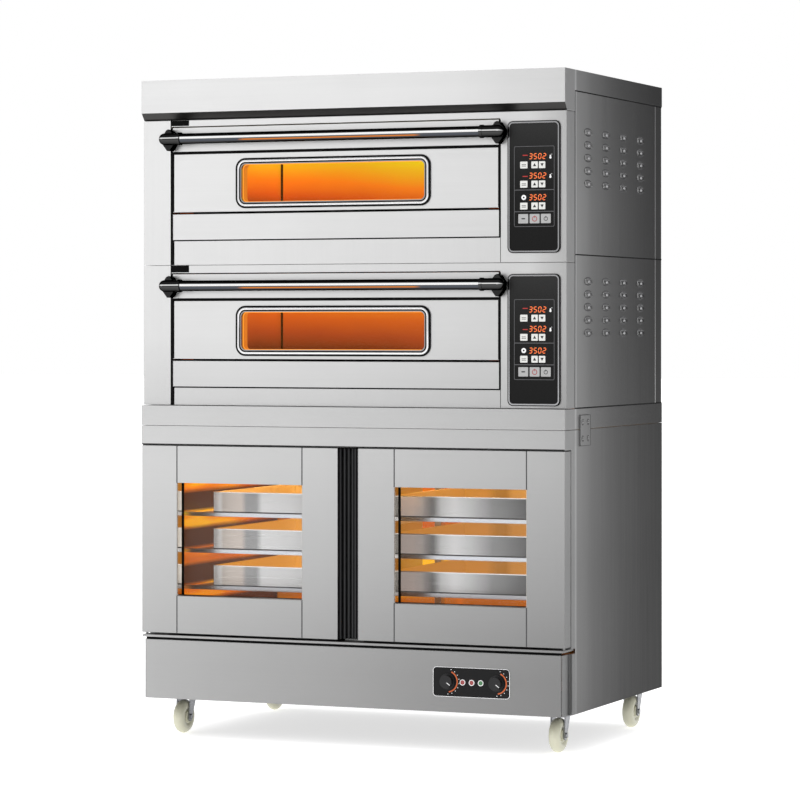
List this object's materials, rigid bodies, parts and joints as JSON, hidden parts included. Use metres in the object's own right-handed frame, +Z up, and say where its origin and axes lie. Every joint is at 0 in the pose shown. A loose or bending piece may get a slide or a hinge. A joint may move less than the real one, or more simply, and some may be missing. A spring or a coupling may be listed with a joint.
{
  "type": "deck oven",
  "caption": "Two-deck electric bakery oven with drop-down glazed doors on a glass-door proofing cabinet with swivel casters.",
  "frame": {"origin": "on the floor, at the middle of the footprint", "axes": "+Z up, +X to the right seen from the front, +Y from the front to the back"},
  "size_m": [1.24, 0.8364, 1.793],
  "materials": {
    "steel_front": "brushed stainless steel, fine horizontal grain",
    "steel_side": "brushed stainless steel, vertical grain",
    "chamber_steel": "heat-stained aluminised steel",
    "hearth_iron": "dark hearth plate",
    "element_sheath": "oxidised element sheath",
    "polished_chrome": "mirror polish",
    "bracket_chrome": "dark polished casting",
    "panel_black": "black overlay film",
    "liner_steel": "polished liner lit warm",
    "tray_steel": "bright stainless tray",
    "lamp_lens": "coloured lens",
    "zinc_plate": "zinc plated pressing",
    "black_plastic": "moulded, satin",
    "warm_glass": "toughened glass, warm tint",
    "nylon_wheel": "cream nylon"
  },
  "bodies": {
    "cabinet": {"hood": "steel_front", "side_upper_left": "steel_side", "side_upper_right": "steel_side", "side_lower_left": "steel_side", "side_lower_right": "steel_side", "oven_back": "steel_side", "front_frame_upper": "steel_front", "front_frame_lower": "steel_front", "sill_upper": "steel_front", "sill_lower": "steel_front", "chamber_upper": "chamber_steel", "chamber_lower": "chamber_steel", "hearth_upper": "hearth_iron", "hearth_lower": "hearth_iron", "heaters_upper": "element_sheath", "heaters_lower": "element_sheath", "bezel_upper": "polished_chrome", "bezel_lower": "polished_chrome", "overlay_upper": "panel_black", "overlay_lower": "panel_black", "plinth": "steel_front", "proofer_wrap": "steel_side", "proofer_frame": "steel_front", "proofer_liner": "liner_steel", "tray_rack": "tray_steel", "dough_trays": "tray_steel", "base_front": "steel_front", "base_pan": "steel_side", "knob_plate": "panel_black", "indicator_lamps": "lamp_lens", "proofer_heater": "element_sheath", "joint_plates": "steel_front", "caster_plates": "zinc_plate", "cable_gland": "black_plastic"},
    "oven_door_upper": {"door_upper": "steel_front", "door_glass_upper": "warm_glass", "window_bezel_upper": "polished_chrome", "handle_bar_upper": "polished_chrome", "handle_brackets_upper": "bracket_chrome"},
    "oven_door_lower": {"door_lower": "steel_front", "door_glass_lower": "warm_glass", "window_bezel_lower": "polished_chrome", "handle_bar_lower": "polished_chrome", "handle_brackets_lower": "bracket_chrome"},
    "proofer_door_left": {"proofer_door_left": "steel_front", "proofer_glass_left": "warm_glass", "proofer_pull_left": "black_plastic"},
    "proofer_door_right": {"proofer_door_right": "steel_front", "proofer_glass_right": "warm_glass", "proofer_pull_right": "black_plastic"},
    "caster_front_left": {"fork_front_left": "zinc_plate"},
    "caster_wheel_front_left": {"wheel_front_left": "nylon_wheel"},
    "caster_front_right": {"fork_front_right": "zinc_plate"},
    "caster_wheel_front_right": {"wheel_front_right": "nylon_wheel"},
    "caster_rear_left": {"fork_rear_left": "zinc_plate"},
    "caster_wheel_rear_left": {"wheel_rear_left": "nylon_wheel"},
    "caster_rear_right": {"fork_rear_right": "zinc_plate"},
    "caster_wheel_rear_right": {"wheel_rear_right": "nylon_wheel"},
    "knob_temperature": {"knob_temperature": "black_plastic"},
    "knob_humidity": {"knob_humidity": "black_plastic"}
  },
  "joints": [
    {"name": "oven_door_upper_hinge", "type": "hinge", "parent": "cabinet", "child": "oven_door_upper", "pos_m": [0, -0.35875, 1.441], "axis": [1, 0, 0], "range_deg": [0, 90]},
    {"name": "oven_door_lower_hinge", "type": "hinge", "parent": "cabinet", "child": "oven_door_lower", "pos_m": [0, -0.35875, 1.042], "axis": [1, 0, 0], "range_deg": [0, 90]},
    {"name": "proofer_door_left_hinge", "type": "hinge", "parent": "cabinet", "child": "proofer_door_left", "pos_m": [-0.606, -0.36475, 0.538], "axis": [0, 0, -1], "range_deg": [0, 110]},
    {"name": "proofer_door_right_hinge", "type": "hinge", "parent": "cabinet", "child": "proofer_door_right", "pos_m": [0.606, -0.36475, 0.538], "axis": [0, 0, 1], "range_deg": [0, 110]},
    {"name": "caster_front_left_swivel", "type": "hinge", "parent": "cabinet", "child": "caster_front_left", "pos_m": [-0.55, -0.22975, 0.098], "axis": [0, 0, 1], "continuous": true},
    {"name": "caster_front_left_roll", "type": "hinge", "parent": "caster_front_left", "child": "caster_wheel_front_left", "pos_m": [-0.55, -0.25175, 0.046], "axis": [1, 0, 0], "continuous": true},
    {"name": "caster_front_right_swivel", "type": "hinge", "parent": "cabinet", "child": "caster_front_right", "pos_m": [0.55, -0.22975, 0.098], "axis": [0, 0, 1], "continuous": true},
    {"name": "caster_front_right_roll", "type": "hinge", "parent": "caster_front_right", "child": "caster_wheel_front_right", "pos_m": [0.55, -0.25175, 0.046], "axis": [1, 0, 0], "continuous": true},
    {"name": "caster_rear_left_swivel", "type": "hinge", "parent": "cabinet", "child": "caster_rear_left", "pos_m": [-0.55, 0.36525, 0.098], "axis": [0, 0, 1], "continuous": true},
    {"name": "caster_rear_left_roll", "type": "hinge", "parent": "caster_rear_left", "child": "caster_wheel_rear_left", "pos_m": [-0.55, 0.34325, 0.046], "axis": [1, 0, 0], "continuous": true},
    {"name": "caster_rear_right_swivel", "type": "hinge", "parent": "cabinet", "child": "caster_rear_right", "pos_m": [0.55, 0.36525, 0.098], "axis": [0, 0, 1], "continuous": true},
    {"name": "caster_rear_right_roll", "type": "hinge", "parent": "caster_rear_right", "child": "caster_wheel_rear_right", "pos_m": [0.55, 0.34325, 0.046], "axis": [1, 0, 0], "continuous": true},
    {"name": "knob_temperature_turn", "type": "hinge", "parent": "cabinet", "child": "knob_temperature", "pos_m": [0.287, -0.39075, 0.189], "axis": [0, 1, 0], "range_deg": [-105, 75]},
    {"name": "knob_humidity_turn", "type": "hinge", "parent": "cabinet", "child": "knob_humidity", "pos_m": [0.425, -0.39075, 0.189], "axis": [0, 1, 0], "range_deg": [-105, 75]}
  ]
}
